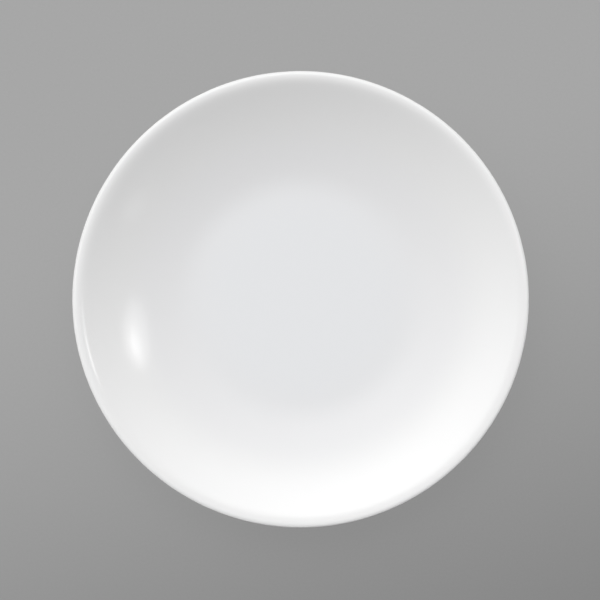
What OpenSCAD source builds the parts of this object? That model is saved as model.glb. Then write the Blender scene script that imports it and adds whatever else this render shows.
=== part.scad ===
// Coupe dinner plate of glazed porcelain, in millimetres.
// It stands on its foot ring at z = 0, with the z axis through its middle.
//
// The fired clay is one piece: well, wall, lip and foot ring are pressed together.
// The glaze is a thin coat of glass over it, wiped off the foot before firing.
// The bare foot parts the glaze into two: the main coat, and the disc inside the ring.
//
// All three are turned from one outline of tangent arcs. Growing every arc by the
// same amount moves the whole outline along its own normals, so the glaze follows
// the clay exactly whatever size is changed.

/* [Plate] */
// Diameter over the glaze, lip to lip
plate_d = 270; // [250:1:300]
// Height over the glaze, from the table to the top of the lip
plate_h = 26; // [23:0.5:32]

/* [Well] */
// Diameter of the flat well that food lies on
well_d = 124; // [110:1:140]
// Radius of the bend where the well turns up into the wall
bend_r = 78; // [50:1:100]
// Slope at which the bend meets the wall, in degrees
bend_slope = 11; // [8:0.5:12]
// Thickness of the clay under the well
floor_t = 4.4; // [3.6:0.1:5.6]

/* [Wall and lip] */
// Thickness of the clay wall where it leaves the bend
wall_t = 5; // [4:0.1:6]
// Radius of the clay lip's round outer edge
nose_r = 2.2; // [1.8:0.1:2.6]
// Radius of the soft roll inside the lip's crest
roll_r = 9.5; // [7:0.5:12]
// Radius of the longer shoulder that eases the roll into the wall
shoulder_r = 40; // [20:1:60]

/* [Foot ring] */
// Outer diameter of the clay foot ring
foot_d = 156; // [146:1:166]
// Width of the clay foot ring
foot_w = 5; // [4:0.1:7]
// Height of the glazed underside above the table, inside the ring
recess_h = 3.2; // [2.8:0.1:4]
// Radius of the two edges that the ring stands on
foot_edge_r = 1; // [0.6:0.1:1.3]
// Radius of the fillet inside the ring, where the recess is deep enough for it
inner_fillet_r = 1.2; // [0.8:0.1:1.5]
// Radius of the fillet outside the ring, where the back leaves room for it
outer_fillet_r = 3; // [2:0.1:4]
// Height of bare clay above the ring's rounded edges
bare_h = 0.4; // [0.2:0.1:0.6]

/* [Glaze] */
// Thickness of the fired glaze
glaze_t = 0.3; // [0.15:0.05:0.45]

/* [Hidden] */

// Largest gap between a true arc and the flats that draw it
arc_gap = 0.003;
// Flats round the plate, where a true turned surface isn't used
$fn = 180;

// Sizes of the clay, which lies one glaze thickness inside the finished plate
clay_r = plate_d / 2 - glaze_t;
clay_top = plate_h - glaze_t;
well_r = well_d / 2;
foot_r = foot_d / 2;
foot_inner_r = foot_r - foot_w;
underside_z = recess_h + glaze_t;
well_z = underside_z + floor_t;
glaze_line_z = foot_edge_r + bare_h;
// The glaze runs straight for its own thickness before a fillet starts
fillet_floor_z = glaze_line_z + glaze_t;

// The bend, and the way out of the face where it meets the wall
bend_c = [well_r, well_z + bend_r];
face_normal = [-sin(bend_slope), cos(bend_slope)];
bend_end = bend_c - bend_r * face_normal;

// The nose and the roll share the lip's crest: the nose outside it, the roll inside it
crest = [clay_r - nose_r, clay_top];
nose_c = [crest.x, crest.y - nose_r];
roll_c = [crest.x, crest.y - roll_r];

// The roll passes into the shoulder where it is as steep as the wall is on average
roll_slope = atan2(crest.y - bend_end.y, crest.x - bend_end.x);
roll_normal = [-sin(roll_slope), cos(roll_slope)];
shoulder_c = roll_c + (roll_r - shoulder_r) * roll_normal;

// The wall's upper face leaves the bend without a break and just touches the shoulder
to_shoulder = shoulder_c - bend_end;
face_reach = to_shoulder * to_shoulder - pow(shoulder_r, 2);
face_r = face_reach / (2 * (shoulder_r + to_shoulder * face_normal));
face_c = bend_end + face_r * face_normal;
face_slope = slope_towards(face_c, shoulder_c);

// The wall's back starts one wall thickness under the bend and runs into the nose
back_start = bend_end - wall_t * face_normal;
to_nose = nose_c - back_start;
back_r = (to_nose * to_nose - pow(nose_r, 2)) / (2 * (to_nose * face_normal - nose_r));
back_c = back_start + back_r * face_normal;
back_slope = slope_towards(back_c, nose_c);

// The fillet outside the foot ring rests in the corner between the ring and the back.
// A ring that is set where the back lies low has less room for it.
to_floor = [foot_r, fillet_floor_z] - back_c;
fillet_room = (to_floor * to_floor - pow(back_r, 2)) / (2 * (back_r - to_floor.x));
outer_fillet = min(outer_fillet_r, fillet_room);
outer_fillet_x = foot_r + outer_fillet;
outer_fillet_drop = sqrt(pow(back_r + outer_fillet, 2) - pow(outer_fillet_x - back_c.x, 2));
outer_fillet_c = [outer_fillet_x, back_c.y - outer_fillet_drop];
foot_slope = slope_towards(back_c, outer_fillet_c);

inner_fillet = min(inner_fillet_r, underside_z - fillet_floor_z);
inner_fillet_c = [foot_inner_r - inner_fillet, underside_z - inner_fillet];
foot_inner_edge_c = [foot_inner_r + foot_edge_r, foot_edge_r];
foot_outer_edge_c = [foot_r - foot_edge_r, foot_edge_r];

// Directions on the section, in degrees from the way out of the plate
out = 0;
up = 90;
inward = 180;
down = -90;

// Slope of a bowl-shaped arc about c, where it points towards p
function slope_towards(c, p) = atan2(p.x - c.x, c.y - p.y);

// Points of an arc about c. How many there are depends on r alone, and grow moves
// them outwards, so a grown arc has a point for each point of the arc it covers.
function arc(c, r, from, to, grow = 0) =
    let (
        step = 2 * acos(1 - arc_gap / r),
        count = max(2, ceil(abs(to - from) / step))
    )
    [for (i = [0 : count])
        let (angle = from + (to - from) * i / count)
        c + (r + grow) * [cos(angle), sin(angle)]];

function reversed(points) = [for (i = [len(points) - 1 : -1 : 0]) points[i]];

// Underside within the foot ring, from the middle to the glaze line
function recess_line(grow = 0) = concat(
    [[0, underside_z - grow]],
    arc(inner_fillet_c, inner_fillet, up, out, -grow),
    [[foot_inner_r - grow, glaze_line_z]]
);

// Bare foot, from one glaze line under the ring to the other
function foot_line() = concat(
    arc(foot_inner_edge_c, foot_edge_r, inward, inward + up),
    arc(foot_outer_edge_c, foot_edge_r, down, out)
);

// Outside of the foot ring, back, lip, wall and well, from the glaze line to the middle
function coat_line(grow = 0) = concat(
    [[foot_r + grow, glaze_line_z]],
    arc(outer_fillet_c, outer_fillet, inward, up + foot_slope, -grow),
    arc(back_c, back_r, down + foot_slope, down + back_slope, grow),
    arc(nose_c, nose_r, down + back_slope, up, grow),
    arc(roll_c, roll_r, up, up + roll_slope, grow),
    arc(shoulder_c, shoulder_r, up + roll_slope, up + face_slope, grow),
    arc(face_c, face_r, down + face_slope, down + bend_slope, -grow),
    arc(bend_c, bend_r, down + bend_slope, down, -grow),
    [[0, well_z + grow]]
);

// The fired porcelain, bare only on the foot ring's edge
module clay_body() {
    color("linen")
    rotate_extrude()
    polygon(concat(recess_line(), foot_line(), coat_line()));
}

// The coat of glaze over the well, wall, lip, back and outside of the foot ring
module main_glaze() {
    color("white")
    rotate_extrude()
    polygon(concat(coat_line(glaze_t), reversed(coat_line())));
}

// The disc of glaze on the underside, closed in by the foot ring
module foot_well_glaze() {
    color("white")
    rotate_extrude()
    polygon(concat(recess_line(glaze_t), reversed(recess_line())));
}

clay_body();
main_glaze();
foot_well_glaze();
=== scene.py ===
# %% [markdown]
# # A coupe dinner plate in glazed porcelain
#
# A coupe plate has no rim: a flat well bends up into a wall that steepens to a soft lip.
# It is one lump of porcelain, pressed on a turning mould, fired, dipped in glaze, fired again.
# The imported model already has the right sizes, so this lesson makes the plate look real inside
# them: its true curves, the bead where the glaze stops, and a glaze that mirrors the studio.

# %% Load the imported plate
from math import atan2, ceil, cos, degrees, pi, radians, sin, sqrt

import bpy
from mathutils import Matrix, Vector


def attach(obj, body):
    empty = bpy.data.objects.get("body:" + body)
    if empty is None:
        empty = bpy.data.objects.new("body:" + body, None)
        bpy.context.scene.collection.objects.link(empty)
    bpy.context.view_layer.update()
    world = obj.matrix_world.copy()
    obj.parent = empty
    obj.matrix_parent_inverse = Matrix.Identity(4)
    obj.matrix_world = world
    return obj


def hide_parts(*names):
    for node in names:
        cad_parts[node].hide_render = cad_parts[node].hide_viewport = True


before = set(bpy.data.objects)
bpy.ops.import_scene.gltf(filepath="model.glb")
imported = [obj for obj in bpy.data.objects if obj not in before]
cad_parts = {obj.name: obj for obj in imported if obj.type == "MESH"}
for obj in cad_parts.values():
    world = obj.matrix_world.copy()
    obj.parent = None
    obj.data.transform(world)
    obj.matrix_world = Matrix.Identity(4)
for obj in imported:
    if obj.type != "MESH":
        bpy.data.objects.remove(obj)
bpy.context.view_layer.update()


print("packed nodes:", sorted(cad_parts))

# %% [markdown]
# ## The drawing of the plate
#
# A potter's template is half of the plate's section, and the same holds here.
# The section is a chain of arcs, each leaving the last in the same direction, so light runs
# over the face without a crease. A curve drawn by eye would show every small error in a glossy
# glaze. The sizes are in millimetres and are those of the solid model.

# %% Sizes of the clay and the glaze
MM = 0.001
PLATE_D, PLATE_H = 270, 26
WELL_D, BEND_R, BEND_SLOPE, FLOOR_T = 124, 78, 11, 4.4
WALL_T, NOSE_R, ROLL_R, SHOULDER_R = 5, 2.2, 9.5, 40
FOOT_D, FOOT_W, RECESS_H, FOOT_EDGE_R = 156, 5, 3.2, 1
INNER_FILLET_R, OUTER_FILLET_R, BARE_H = 1.2, 3, 0.4
GLAZE_T = 0.3

clay_r, clay_top = PLATE_D / 2 - GLAZE_T, PLATE_H - GLAZE_T
well_r, foot_r = WELL_D / 2, FOOT_D / 2
foot_inner_r = foot_r - FOOT_W
underside_z = RECESS_H + GLAZE_T
well_z = underside_z + FLOOR_T
glaze_line_z = FOOT_EDGE_R + BARE_H
print(f"clay {clay_r * 2} mm across, under {GLAZE_T} mm of glaze")

# %% [markdown]
# ## Where the arcs meet
#
# Directions on the section are angles from the way out of the plate: 0 is out and 90 is up.
# The wall has to leave the bend smoothly and just touch the shoulder, which fixes its radius.
# The back has to start one wall thickness under the bend and run into the lip's round nose.
# Working the radii out, rather than trying them, keeps every joint between arcs exact.

# %% Rules for arcs that touch
def way(angle):
    """One step on the section in a direction, in degrees from the way out of the plate."""
    return Vector((cos(radians(angle)), sin(radians(angle))))


def slope_towards(centre, point):
    """Slope in degrees of a bowl-shaped arc, where it points from its centre to a point."""
    return degrees(atan2(point.x - centre.x, centre.y - point.y))


def touching_radius(start, normal, centre, radius):
    """Radius of an arc that leaves start square to normal and just touches a circle.

    A positive radius touches the circle from outside, and a negative one holds it inside."""
    reach = centre - start
    return (reach.dot(reach) - radius**2) / (2 * (radius + reach.dot(normal)))


print("one step up:", way(90)[:])

# %% Centres and radii of the arcs
bend_c = Vector((well_r, well_z + BEND_R))
face_normal = way(90 + BEND_SLOPE)
bend_end = bend_c - BEND_R * face_normal
crest = Vector((clay_r - NOSE_R, clay_top))
nose_c, roll_c = crest - Vector((0, NOSE_R)), crest - Vector((0, ROLL_R))
roll_slope = degrees(atan2(crest.y - bend_end.y, crest.x - bend_end.x))
shoulder_c = roll_c + (ROLL_R - SHOULDER_R) * way(90 + roll_slope)
face_r = touching_radius(bend_end, face_normal, shoulder_c, SHOULDER_R)
face_c = bend_end + face_r * face_normal
face_slope = slope_towards(face_c, shoulder_c)
back_start = bend_end - WALL_T * face_normal
back_r = touching_radius(back_start, face_normal, nose_c, -NOSE_R)
back_c = back_start + back_r * face_normal
back_slope = slope_towards(back_c, nose_c)
fillet_x = foot_r + OUTER_FILLET_R
fillet_drop = sqrt((back_r + OUTER_FILLET_R) ** 2 - (fillet_x - back_c.x) ** 2)
outer_fillet_c = Vector((fillet_x, back_c.y - fillet_drop))
foot_slope = slope_towards(back_c, outer_fillet_c)
inner_fillet_c = Vector((foot_inner_r - INNER_FILLET_R, underside_z - INNER_FILLET_R))
print(f"wall radius {face_r:.2f} mm to {face_slope:.2f} degrees, back radius {back_r:.2f} mm")

# %% [markdown]
# ## Points along the section
#
# Each arc becomes points close enough together that no flat shows, even in a glossy glaze.
# A point's place on an arc is worked out from its angle, so growing every radius by the glaze's
# thickness gives the glaze's outside, parallel to the clay everywhere.
# Where the glaze was wiped off, melting drew its edge into a small round bead.

# %% Lines of the clay, the foot and the coat
OUT, UP, INWARD, DOWN = 0, 90, 180, -90
LONGEST_STEP = 1.6      # mm along an arc
WIDEST_TURN = 7.5       # degrees between two points of a tight arc
RECESS_RINGS, WELL_RINGS = 12, 10


def arc(centre, radius, start, end, grow=0):
    """Points of an arc, from one direction to the other, grown by a thickness."""
    turn = end - start
    count = ceil(max(abs(turn) / WIDEST_TURN, abs(radians(turn)) * radius / LONGEST_STEP))
    return [centre + (radius + grow) * way(start + turn * i / count) for i in range(count + 1)]


def level(z, start_r, end_r, rings):
    """Points along a level face, without the last one, which the next line brings."""
    return [Vector((start_r + (end_r - start_r) * i / rings, z)) for i in range(rings)]


def recess_line(grow=0):
    """Underside inside the foot ring, from the middle out to the glaze line."""
    return (
        level(underside_z - grow, 0, inner_fillet_c.x, RECESS_RINGS)
        + arc(inner_fillet_c, INNER_FILLET_R, UP, OUT, -grow)
        + [Vector((foot_inner_r - grow, glaze_line_z + GLAZE_T))]
    )


def foot_line():
    """The bare foot, from one glaze line under the ring to the other."""
    inner_edge_c = Vector((foot_inner_r + FOOT_EDGE_R, FOOT_EDGE_R))
    outer_edge_c = Vector((foot_r - FOOT_EDGE_R, FOOT_EDGE_R))
    return (
        [Vector((foot_inner_r, glaze_line_z))]
        + arc(inner_edge_c, FOOT_EDGE_R, INWARD, INWARD + UP)
        + arc(outer_edge_c, FOOT_EDGE_R, DOWN, OUT)
        + [Vector((foot_r, glaze_line_z))]
    )


def coat_line(grow=0):
    """Outside of the ring, back, lip, wall and well, from the glaze line to the middle."""
    return (
        [Vector((foot_r + grow, glaze_line_z + GLAZE_T))]
        + arc(outer_fillet_c, OUTER_FILLET_R, INWARD, UP + foot_slope, -grow)
        + arc(back_c, back_r, DOWN + foot_slope, DOWN + back_slope, grow)
        + arc(nose_c, NOSE_R, DOWN + back_slope, UP, grow)
        + arc(roll_c, ROLL_R, UP, UP + roll_slope, grow)
        + arc(shoulder_c, SHOULDER_R, UP + roll_slope, UP + face_slope, grow)
        + arc(face_c, face_r, DOWN + face_slope, DOWN + BEND_SLOPE, -grow)
        + arc(bend_c, BEND_R, DOWN + BEND_SLOPE, DOWN, -grow)
        + level(well_z + grow, well_r, 0, WELL_RINGS)[1:]
        + [Vector((0, well_z + grow))]
    )


print("points on the coat's outside:", len(coat_line(GLAZE_T)))

# %% Closed sections of the three pieces
# The bead is a quarter circle as wide as the glaze is thick, and closes the coat's edge
bead_z = glaze_line_z + GLAZE_T
inner_bead = arc(Vector((foot_inner_r, bead_z)), GLAZE_T, INWARD, INWARD + UP)
outer_bead = arc(Vector((foot_r, bead_z)), GLAZE_T, DOWN, OUT)

clay_section = recess_line() + foot_line() + coat_line()
main_section = outer_bead[:-1] + coat_line(GLAZE_T) + coat_line()[::-1] + outer_bead[:1]
disc_section = recess_line(GLAZE_T) + inner_bead[1:] + recess_line()[::-1]
print("points on the sections:", len(clay_section), len(main_section), len(disc_section))

# %% [markdown]
# ## Turning a section into a piece
#
# The real plate is shaped on a turning mould, and the Spin tool is the same move.
# A tiny plane is merged into one vertex, which is extruded from point to point along the
# section, and the chain is spun once round. Steps that meet at the axis and at the seam are then
# merged, and the normals are made to point outwards, which Spin doesn't promise.
# A Screw modifier would also do it, but leaves the seam and the middle to be welded later.

# %% The turning helper
TURN_STEPS = 256        # 3.3 mm apart at the lip, 0.01 mm off a true circle
WELD = 0.0005 * MM      # far less than the smallest step between two points
SMOOTH_BELOW = 40       # degrees; only the corners under the beads are sharper


def turned(name, section):
    """Extrudes one vertex along a section, spins it once round and returns the piece."""
    bpy.ops.object.select_all(action="DESELECT")
    bpy.ops.mesh.primitive_plane_add(size=MM, location=(0, 0, 0))
    piece = bpy.context.object
    piece.name = piece.data.name = name
    bpy.ops.object.mode_set(mode="EDIT")
    bpy.ops.mesh.select_all(action="SELECT")
    bpy.ops.mesh.merge(type="CENTER")
    bpy.ops.transform.translate(value=(section[0].x * MM, 0, section[0].y * MM))
    for here, there in zip(section, section[1:]):
        step = (there - here) * MM
        if step.length > WELD:
            bpy.ops.mesh.extrude_vertices_move(
                TRANSFORM_OT_translate={"value": (step.x, 0, step.y)})
    bpy.ops.mesh.select_all(action="SELECT")
    bpy.ops.mesh.spin(steps=TURN_STEPS, angle=2 * pi, center=(0, 0, 0), axis=(0, 0, 1))
    bpy.ops.mesh.select_all(action="SELECT")
    bpy.ops.mesh.remove_doubles(threshold=WELD)
    bpy.ops.mesh.normals_make_consistent(inside=False)
    bpy.ops.object.mode_set(mode="OBJECT")
    bpy.ops.object.shade_smooth_by_angle(angle=radians(SMOOTH_BELOW))
    piece.data.materials.clear()
    widest = max(vertex.co.xy.length for vertex in piece.data.vertices) * 2 / MM
    print(f"{name}: {len(piece.data.polygons)} faces, {widest:.2f} mm across")
    return piece


# %% [markdown]
# ## The three pieces
#
# The fired clay shows only on the foot ring, but it is made whole, as the real one is.
# The glaze over the face, lip and back is one coat, and the glaze inside the foot ring is
# another, because the maker wipes the ring bare so that it doesn't melt on to the kiln shelf.
# Each section starts and ends on the axis or closes on itself, so each piece is watertight.

# %% Turn the clay and its two coats
porcelain_body = turned("porcelain_body", clay_section)
main_coat = turned("main_glaze_coat", main_section)
foot_disc = turned("foot_well_glaze_disc", disc_section)

for piece, node_name, slot_name in (
    (porcelain_body, "clay_body", "bare_porcelain"),
    (main_coat, "main_glaze", "white_glaze"),
    (foot_disc, "foot_well_glaze", "white_glaze"),
):
    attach(piece, "root")
    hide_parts(node_name)

# %% [markdown]
# ## Helpers for materials
#
# A colour is written as the hex value that a colour picker shows, which is sRGB.
# Shaders add light, which only works on linear values, so one function turns one into the other.
# Another adds a node with its settings and whatever goes into its sockets.

# %% Colour and node helpers
def linear(hex_colour):
    """Linear RGBA of an sRGB hex colour."""
    parts = [int(hex_colour[i : i + 2], 16) / 255 for i in (1, 3, 5)]
    return [p / 12.92 if p <= 0.04045 else ((p + 0.055) / 1.055) ** 2.4 for p in parts] + [1]


def add_node(tree, kind, inputs=None, **settings):
    """Adds a node. inputs maps a socket to a value, or to another node's output to link."""
    node = tree.nodes.new("ShaderNode" + kind)
    for name, value in settings.items():
        setattr(node, name, value)
    for socket, value in (inputs or {}).items():
        if isinstance(value, bpy.types.NodeSocket):
            tree.links.new(value, node.inputs[socket])
        else:
            node.inputs[socket].default_value = value
    return node


def new_material(name):
    """A material with its nodes cleared, and the tree to fill."""
    material = bpy.data.materials.new(name)
    material.use_nodes = True
    material.node_tree.nodes.clear()
    return material, material.node_tree


def waves(size_mm):
    """Scale of a noise whose bumps are about that many millimetres apart."""
    return 1 / (size_mm * MM)


print("mid grey, linear:", round(linear("#808080")[0], 3))

# %% [markdown]
# ## The glaze: clear feldspar glaze over white porcelain
#
# Glaze is glass, melted in the kiln, and the white clay just under it scatters most of the light
# back. It is a shade cooler where it lies thick in the well, and a shade brighter where it ran
# thin over the lip, which tells fired glaze from plastic. The lip's brighter colour is also
# painted
# light: it stands in for light that soaks through the thin lip. The plate was turned, so a
# colour ramp along the radius is enough, and it follows the plate in every view.

# %% Colour of the glaze
GLAZE_WELL = "#F0F1F3"      # thick, so a touch cooler
GLAZE_BEND = "#F1F1F2"
GLAZE_WALL = "#F2F2F2"
# Thin glaze on the lip, made brighter still as painted light for the light soaking through it
GLAZE_LIP_THIN_AND_LIT = "#F9F9F9"      # on the lip
GLAZE_STOPS = (             # mm from the middle
    (40, GLAZE_WELL), (85, GLAZE_BEND), (110, GLAZE_WALL),
    (127.5, GLAZE_WALL), (133.5, GLAZE_LIP_THIN_AND_LIT),
)

glaze, tree = new_material("glazed_porcelain")
place = add_node(tree, "TexCoord").outputs["Object"]
axes = add_node(tree, "SeparateXYZ", {"Vector": place}).outputs
flat = add_node(tree, "CombineXYZ", {"X": axes["X"], "Y": axes["Y"]}).outputs[0]
radius = add_node(tree, "VectorMath", {0: flat}, operation="LENGTH").outputs["Value"]
radius_share = add_node(tree, "MapRange", {
    "Value": radius, "From Min": 0, "From Max": PLATE_D / 2 * MM}).outputs[0]
# Glaze colour across the radius: its thickness, with painted light on the lip
thickness_and_lip_light = add_node(tree, "ValToRGB", {"Fac": radius_share})
ramp = thickness_and_lip_light.color_ramp
ramp.interpolation = "EASE"
ramp.elements[0].color = linear(GLAZE_WELL)
ramp.elements[1].color = linear(GLAZE_LIP_THIN_AND_LIT)
for from_middle, shade in GLAZE_STOPS:
    ramp.elements.new(from_middle / (PLATE_D / 2)).color = linear(shade)
print("glaze goes from", GLAZE_WELL, "in the well to", GLAZE_LIP_THIN_AND_LIT, "on the lip")

# %% [markdown]
# ## Ripples in the glaze
#
# Melted glaze settles level to a few thousandths of a millimetre, with a skin like an orange's,
# and pressing leaves a longer wave, a few hundredths deep. Neither shows as a shape, but both
# keep a mirrored lamp from having a ruled edge. Two noises in real millimetres do it.

# %% Wave and orange peel
WAVE_SIZE, WAVE_DEPTH = 22, 0.030       # mm
PEEL_SIZE, PEEL_DEPTH = 4, 0.002

wave = add_node(tree, "TexNoise", {"Vector": place, "Scale": waves(WAVE_SIZE), "Detail": 1.0})
wave_bump = add_node(tree, "Bump", {
    "Height": wave.outputs[0], "Strength": 1.0, "Distance": WAVE_DEPTH * MM})
peel = add_node(tree, "TexNoise", {"Vector": place, "Scale": waves(PEEL_SIZE), "Detail": 2.0})
peel_bump = add_node(tree, "Bump", {
    "Height": peel.outputs[0], "Strength": 1.0, "Distance": PEEL_DEPTH * MM,
    "Normal": wave_bump.outputs[0]})
print(f"waves {WAVE_SIZE} mm long, orange peel {PEEL_SIZE} mm")

# %% [markdown]
# ## A lip without a dark side
#
# Porcelain lets light soak a few millimetres in, so a thin lip stays bright even where it faces
# away from the light. Here the matt layer's normal is leaned upwards on the lip, which spreads
# the light as soaking does and is quicker than tracing it through the clay.
# Neither the glass on top nor the plate's back is leaned.

# %% Leaned normal
LEAN = 1.5                              # upwards, against a normal of length 1
LEAN_FROM, LEAN_FULL = 131.8, 133.6     # mm from the middle
LEAN_FACING = 0.4                       # a face that points up this much leans fully

normal = add_node(tree, "NewGeometry").outputs["Normal"]
facing = add_node(tree, "SeparateXYZ", {"Vector": normal}).outputs["Z"]
near_lip = add_node(tree, "MapRange", {
    "Value": radius, "From Min": LEAN_FROM * MM, "From Max": LEAN_FULL * MM, "To Max": LEAN},
    interpolation_type="SMOOTHSTEP").outputs[0]
upper = add_node(tree, "MapRange", {
    "Value": facing, "From Min": 0, "From Max": LEAN_FACING}).outputs[0]
upwards = add_node(tree, "Math", {0: near_lip, 1: upper}, operation="MULTIPLY").outputs[0]
lean = add_node(tree, "CombineXYZ", {"Z": upwards}).outputs[0]
leaned = add_node(tree, "VectorMath", {0: normal, 1: lean}, operation="ADD").outputs[0]
leaned = add_node(tree, "VectorMath", {0: leaned}, operation="NORMALIZE").outputs[0]
print(f"the normal leans by {LEAN} outside {LEAN_FULL} mm")

# %% [markdown]
# ## Pinholes
#
# Gas from the clay leaves a tiny hole in the glaze here and there. Plates are sorted by how
# clean their face is, so the holes are left on the underside alone.
# A Voronoi texture scatters the points, and cutting off the distance to them gives round dots.

# %% Pinholes on the underside
PINHOLE = "#B9B4AA"                     # bare clay in its own shadow
PINHOLE_GAP = 20                        # mm between two, about
PINHOLE_CORE, PINHOLE_EDGE = 0.16, 0.28     # mm from the hole's middle, full and none
BELOW_FROM, BELOW_FULL = -0.3, -0.6     # how far down a face points, none and full

cells = add_node(tree, "TexVoronoi", {
    "Vector": place, "Scale": waves(PINHOLE_GAP), "Randomness": 1.0})
hole = add_node(tree, "MapRange", {
    "Value": cells.outputs["Distance"], "From Min": PINHOLE_CORE / PINHOLE_GAP,
    "From Max": PINHOLE_EDGE / PINHOLE_GAP, "To Min": 1, "To Max": 0}).outputs[0]
below = add_node(tree, "MapRange", {
    "Value": facing, "From Min": BELOW_FROM, "From Max": BELOW_FULL}).outputs[0]
hole_below = add_node(tree, "Math", {0: hole, 1: below}, operation="MULTIPLY").outputs[0]
colour = add_node(tree, "Mix", {
    "Factor": hole_below, 6: thickness_and_lip_light.outputs["Color"], 7: linear(PINHOLE)},
    data_type="RGBA").outputs[2]
print(f"pinholes {PINHOLE_CORE + PINHOLE_EDGE:.2f} mm across, {PINHOLE_GAP} mm apart")

# %% [markdown]
# ## Matt white under clear glass
#
# One Principled shader holds both layers. Its base is the white clay seen through the glaze,
# wholly matt and with no gloss of its own. Its coat is the glass, of index 1.5, which mirrors
# lamps clearly but with a soft edge, as a surface that set by itself does.

# %% Glazed porcelain
# Bump correction would darken the side of the lip that the leaned normal is there to brighten
glaze.cycles.use_bump_map_correction = False
shader = add_node(tree, "BsdfPrincipled", {
    "Base Color": colour, "Roughness": 0.6, "Specular IOR Level": 0.0, "Normal": leaned,
    "Coat Weight": 1.0, "Coat Roughness": 0.09, "Coat IOR": 1.5,
    "Coat Normal": peel_bump.outputs[0]})
add_node(tree, "OutputMaterial", {"Surface": shader.outputs[0]})

for piece in (main_coat, foot_disc):
    piece.data.materials.append(glaze)
print("glaze nodes:", len(tree.nodes))

# %% [markdown]
# ## The foot: bare porcelain, fired and rubbed
#
# Without glaze, fired porcelain is a dense stone, off-white and matt to the touch.
# Its surface is the clay's own fine grit. It is rubbed on the land that it stands on,
# which leaves that smoother and a little grey, and it turns faintly tan beside the glaze.

# %% Bare porcelain
CLAY_WHITE = "#E6E2DA"
CLAY_FLASHED = "#DCCDB6"                # beside the glaze
CLAY_RUBBED = "#D3D1CB"
FLASHED_H = 0.6                         # mm below the glaze line
RUBBED_LEAST, RUBBED_MOST = 0.02, 0.2   # mm up the rounded edges
GRIT_SIZE, GRIT_DEPTH = 0.15, 0.02      # mm; real grit is 0.05 mm, too fine to show
MOTTLE_SIZE = 6
ROUGH_CLAY, ROUGH_RUBBED = 0.68, 0.5

clay, tree = new_material("bare_porcelain")
place = add_node(tree, "TexCoord").outputs["Object"]
height = add_node(tree, "SeparateXYZ", {"Vector": place}).outputs["Z"]
grit = add_node(tree, "TexNoise", {"Vector": place, "Scale": waves(GRIT_SIZE), "Detail": 2.0})
grit_bump = add_node(tree, "Bump", {
    "Height": grit.outputs[0], "Strength": 0.6, "Distance": GRIT_DEPTH * MM})
mottle = add_node(tree, "TexNoise", {
    "Vector": place, "Scale": waves(MOTTLE_SIZE), "Detail": 4.0})

# The edges are rubbed unevenly, so the height that the wear reaches is mottled
rubbed_to = add_node(tree, "MapRange", {
    "Value": mottle.outputs[0], "To Min": RUBBED_LEAST * MM, "To Max": RUBBED_MOST * MM})
rubbed = add_node(tree, "MapRange", {
    "Value": height, "From Min": rubbed_to.outputs[0], "From Max": 0}).outputs[0]
flashed = add_node(tree, "MapRange", {
    "Value": height, "From Min": (glaze_line_z - FLASHED_H) * MM,
    "From Max": glaze_line_z * MM}).outputs[0]
warm = add_node(tree, "Mix", {
    "Factor": flashed, 6: linear(CLAY_WHITE), 7: linear(CLAY_FLASHED)},
    data_type="RGBA").outputs[2]
colour = add_node(tree, "Mix", {
    "Factor": rubbed, 6: warm, 7: linear(CLAY_RUBBED)}, data_type="RGBA").outputs[2]
roughness = add_node(tree, "MapRange", {
    "Value": rubbed, "To Min": ROUGH_CLAY, "To Max": ROUGH_RUBBED}).outputs[0]
shader = add_node(tree, "BsdfPrincipled", {
    "Base Color": colour, "Roughness": roughness, "IOR": 1.5, "Normal": grit_bump.outputs[0]})
add_node(tree, "OutputMaterial", {"Surface": shader.outputs[0]})

porcelain_body.data.materials.append(clay)
print("clay nodes:", len(tree.nodes))

# %% [markdown]
# ## The floor: a sheet of grey paper
#
# The plate lies on seamless grey paper that goes darker away from the light. The fade is painted
# light: the light's fall-off, painted in the paper's own colour, so that the light on the plate
# stays even.
# Paper fibres give it a faint grain, which a smooth grey card wouldn't have.

# %% Colour of the paper
# The two colours are painted light: the paper near the light, and where the light has fallen off
PAPER_LIGHT, PAPER_DARK = "#A8A8A8", "#7F7F7F"
PAPER_REACH = 40                        # metres, so that its edge stays out of a low view
FADE_WAY = Vector((-0.2957, 0.9553, 0))     # towards the paper's lighter side
FADE_FROM, FADE_TO = -0.100, 0.360      # metres from the middle, the other way
FIBRE_SIZE, GRAIN = 1.5, 0.03           # mm, and the share by which the brightness varies

bpy.ops.object.select_all(action="DESELECT")
bpy.ops.mesh.primitive_plane_add(size=PAPER_REACH, location=(0, 0, 0))
paper = bpy.context.object
paper.name = paper.data.name = "grey_paper"

paper_look, tree = new_material("grey_seamless_paper")
place = add_node(tree, "TexCoord").outputs["Object"]
away = add_node(tree, "VectorMath", {
    0: place, 1: -FADE_WAY}, operation="DOT_PRODUCT").outputs["Value"]
fade = add_node(tree, "MapRange", {
    "Value": away, "From Min": FADE_FROM, "From Max": FADE_TO},
    interpolation_type="SMOOTHSTEP").outputs[0]
# Painted fall-off of the light across the paper
tone = add_node(tree, "Mix", {
    "Factor": fade, 6: linear(PAPER_LIGHT), 7: linear(PAPER_DARK)}, data_type="RGBA").outputs[2]
fibres = add_node(tree, "TexNoise", {
    "Vector": place, "Scale": waves(FIBRE_SIZE), "Detail": 3.0})
grain = add_node(tree, "MapRange", {
    "Value": fibres.outputs[0], "To Min": 1 - GRAIN, "To Max": 1 + GRAIN}).outputs[0]
colour = add_node(tree, "VectorMath", {0: tone, 3: grain}, operation="SCALE").outputs[0]
print("paper goes from", PAPER_LIGHT, "to", PAPER_DARK)

# %% [markdown]
# ## How the paper takes the light
#
# A paper lit by the studio would show the lamps' own fall-off beside its painted fade.
# So to the camera, and in the glaze's mirror, most of its colour is given out evenly, and only
# the rest is lit: the plate's shadow is there, but as faint as in the photograph.
# The light that the paper throws back on to the plate is that of plain paper.

# %% Grey paper
LIT_SHARE = 0.15

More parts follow.
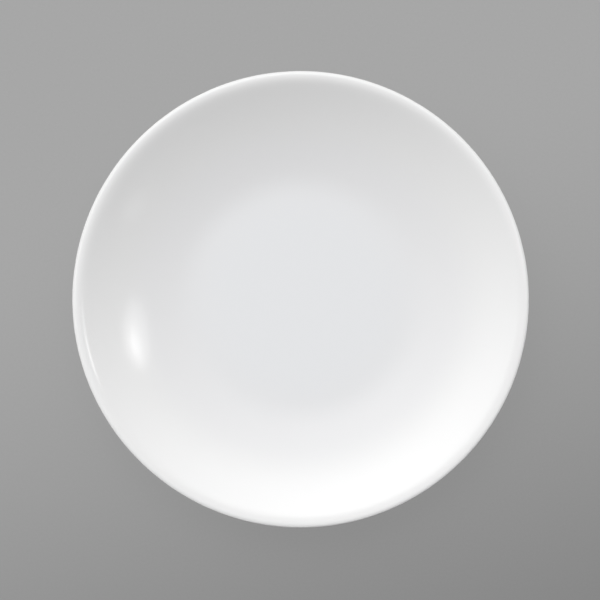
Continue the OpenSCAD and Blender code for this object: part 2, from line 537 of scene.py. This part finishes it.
lit = add_node(tree, "BsdfPrincipled", {
    "Base Color": colour, "Roughness": 0.9, "Specular IOR Level": 0.2})
given = add_node(tree, "Emission", {"Color": colour, "Strength": 1.0})
rays = add_node(tree, "LightPath").outputs
seen = rays["Is Camera Ray"]
for ray in ("Is Glossy Ray", "Is Transmission Ray"):
    seen = add_node(tree, "Math", {0: seen, 1: rays[ray]}, operation="MAXIMUM").outputs[0]
given_share = add_node(tree, "Math", {
    0: seen, 1: 1 - LIT_SHARE}, operation="MULTIPLY").outputs[0]
mixed = add_node(tree, "MixShader", {
    0: given_share, 1: lit.outputs[0], 2: given.outputs[0]})
add_node(tree, "OutputMaterial", {"Surface": mixed.outputs[0]})
paper.data.materials.append(paper_look)
print("paper nodes:", len(tree.nodes))

# %% [markdown]
# ## The studio light
#
# The photograph was lit by one wide soft source, high up on one side, in a dimmer room.
# The wall of the plate shows where it was: the matt part of its brightness gives the source's
# strength, and the slope at which its mirror image appears gives the height where it starts.
# Put in the world, as light that comes from a direction, it is as strong on one side of the
# plate as on the other, which a lamp near the plate would not be. It fades out downwards, so the
# room stays dim at the horizon.

# %% World light
ROOM_LIGHT = 0.418                      # straight overhead and at the horizon; 1 is white
ROOM_DIMMER = 0.30                      # how much less there is in the ring between them
KEY_LIGHT = 2.73                        # added in that ring, where it is strongest
KEY_WAY = Vector((-0.3665, 0.9304, 0))  # over the floor, towards the key light
KEY_STARTS, KEY_FULL = 21.9, 33.1       # degrees from straight up
KEY_FALLOFF = 1.8                       # how fast it weakens round the ring
HIGH_UP = 0.765                         # height on a unit dome under which the ring fades

world = bpy.data.worlds.new("studio")
bpy.context.scene.world = world
world.use_nodes = True
tree = world.node_tree
tree.nodes.clear()
looking = add_node(tree, "TexCoord").outputs["Generated"]
dome = add_node(tree, "SeparateXYZ", {"Vector": looking}).outputs

# A ring of the sky: nothing straight above, full at 33 to 40 degrees, gone at the horizon
from_up = add_node(tree, "Math", {0: dome["Z"]}, operation="ARCCOSINE").outputs[0]
starts = add_node(tree, "MapRange", {
    "Value": from_up, "From Min": radians(KEY_STARTS), "From Max": radians(KEY_FULL)},
    interpolation_type="SMOOTHSTEP").outputs[0]
high = add_node(tree, "MapRange", {
    "Value": dome["Z"], "From Min": 0, "From Max": HIGH_UP},
    interpolation_type="SMOOTHSTEP").outputs[0]
ring = add_node(tree, "Math", {0: starts, 1: high}, operation="MULTIPLY").outputs[0]

# Round the ring, the key is strongest one way and falls to nothing the other way
level_way = add_node(tree, "CombineXYZ", {"X": dome["X"], "Y": dome["Y"]}).outputs[0]
level_way = add_node(tree, "VectorMath", {0: level_way}, operation="NORMALIZE").outputs[0]
towards = add_node(tree, "VectorMath", {
    0: level_way, 1: KEY_WAY}, operation="DOT_PRODUCT").outputs["Value"]
side = add_node(tree, "MapRange", {
    "Value": towards, "From Min": -1, "From Max": 1}).outputs[0]
side = add_node(tree, "Math", {0: side, 1: KEY_FALLOFF}, operation="POWER").outputs[0]
key = add_node(tree, "Math", {
    0: side, 1: KEY_LIGHT, 2: -ROOM_DIMMER}, operation="MULTIPLY_ADD").outputs[0]
strength = add_node(tree, "Math", {
    0: ring, 1: key, 2: ROOM_LIGHT}, operation="MULTIPLY_ADD").outputs[0]
background = add_node(tree, "Background", {"Color": linear("#FFFFFF"), "Strength": strength})
add_node(tree, "OutputWorld", {"Surface": background.outputs[0]})
print("world nodes:", len(tree.nodes))

# %% [markdown]
# ## The window in the glaze
#
# A small bright window shows in the wall as a leaf-shaped blob, and again as a thin line on the
# lip. Where it stands is worked out backwards: a ray from the camera is mirrored on the glaze at
# the blob. The blob has a soft body that brightens to a thin core, so three ovals lie one inside
# another. Further round, a much fainter patch in the glaze shows that there is a second window.

# %% Window lamps
def window_lamp(name, place, along, across, turn, radiance):
    """An oval lamp facing the plate, sized along and across the lip; radiance 1 is white."""
    bpy.ops.object.select_all(action="DESELECT")
    bpy.ops.object.light_add(type="AREA", location=place)
    lamp = bpy.context.object
    lamp.name = lamp.data.name = name
    lamp.data.shape = "ELLIPSE"
    lamp.data.size, lamp.data.size_y = along, across
    lamp.data.energy = radiance * pi * pi / 4 * along * across
    aim = (-Vector(place)).to_track_quat("-Z", "Y").to_matrix()
    lamp.rotation_euler = (aim @ Matrix.Rotation(radians(turn), 3, "Z")).to_euler()
    return lamp


# Place in metres, length along the lip, width across it, turn in degrees, radiance
window_lamp("window_pane", (0.638, 0.139, 1.5), 0.285, 0.155, -14, 2.2)
window_lamp("window_middle", (0.645, 0.168, 1.5), 0.17, 0.070, -8, 2.2)
window_lamp("window_core", (0.650, 0.178, 1.5), 0.10, 0.025, 0, 7.0)
window_lamp("far_window", (0.705, -0.390, 1.5), 0.15, 0.09, 0, 1.0)

# %% [markdown]
# ## The camera
#
# The plate's outline in the photograph is round, so the camera looks straight down.
# How far away it stood can't be told from a flat circle; a 100 mm lens about a metre up is
# usual for tableware. Its distance then follows from how wide the plate is in the photograph.

# %% Camera straight above
LENS, SENSOR = 100, 36                  # mm
PHOTO = 600                             # pixels across the photograph
PLATE_PIXELS = 456.6                    # across the plate in it
PLATE_RIGHT, PLATE_DOWN = 0.6, -0.65    # pixels from the photograph's middle to the plate's
WIDEST_Z = PLATE_H - NOSE_R - GLAZE_T   # where the lip is widest, in mm

pixel = PLATE_D / PLATE_PIXELS * MM
above_lip = PLATE_D * MM * LENS / (SENSOR * PLATE_PIXELS / PHOTO)
bpy.ops.object.camera_add(
    location=(-PLATE_RIGHT * pixel, PLATE_DOWN * pixel, WIDEST_Z * MM + above_lip),
    rotation=(0, 0, 0))
camera = bpy.context.object
camera.name = camera.data.name = "camera_above"
camera.data.lens, camera.data.sensor_width = LENS, SENSOR
bpy.context.scene.camera = camera
bpy.context.scene.view_settings.view_transform = "Standard"
print(f"camera {camera.location.z:.3f} m up, {pixel * 1000:.3f} mm a pixel at the lip")
